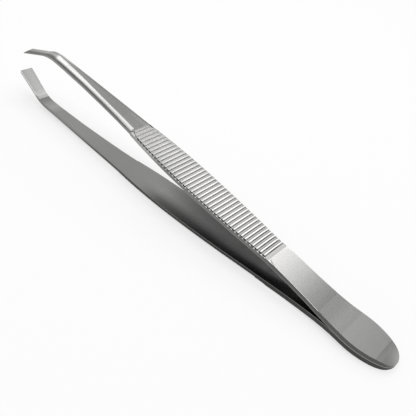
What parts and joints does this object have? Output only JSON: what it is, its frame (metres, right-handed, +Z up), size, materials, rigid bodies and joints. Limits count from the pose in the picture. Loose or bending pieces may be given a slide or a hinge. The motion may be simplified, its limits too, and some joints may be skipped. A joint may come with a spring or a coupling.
{
  "type": "angled tweezers",
  "caption": "Spring tweezers of two flat steel arms joined at a rounded heel, with cross-ribbed grips and square tips that bend inwards towards each other.",
  "frame": {"origin": "on the surface that the tweezers lie on, under the middle of their length and width", "axes": "+X from the tips to the heel, +Z up from the surface through the lower arm to the upper arm, +Y across the arms"},
  "size_m": [0.0952, 0.008, 0.0139],
  "materials": {
    "upper_steel": "brushed along the arm, with bright rib crests and rims",
    "lower_steel": "brushed along the arm, with bright rib crests and rims"
  },
  "bodies": {
    "root": {"upper_arm": "upper_steel", "lower_arm": "lower_steel"}
  },
  "joints": []
}
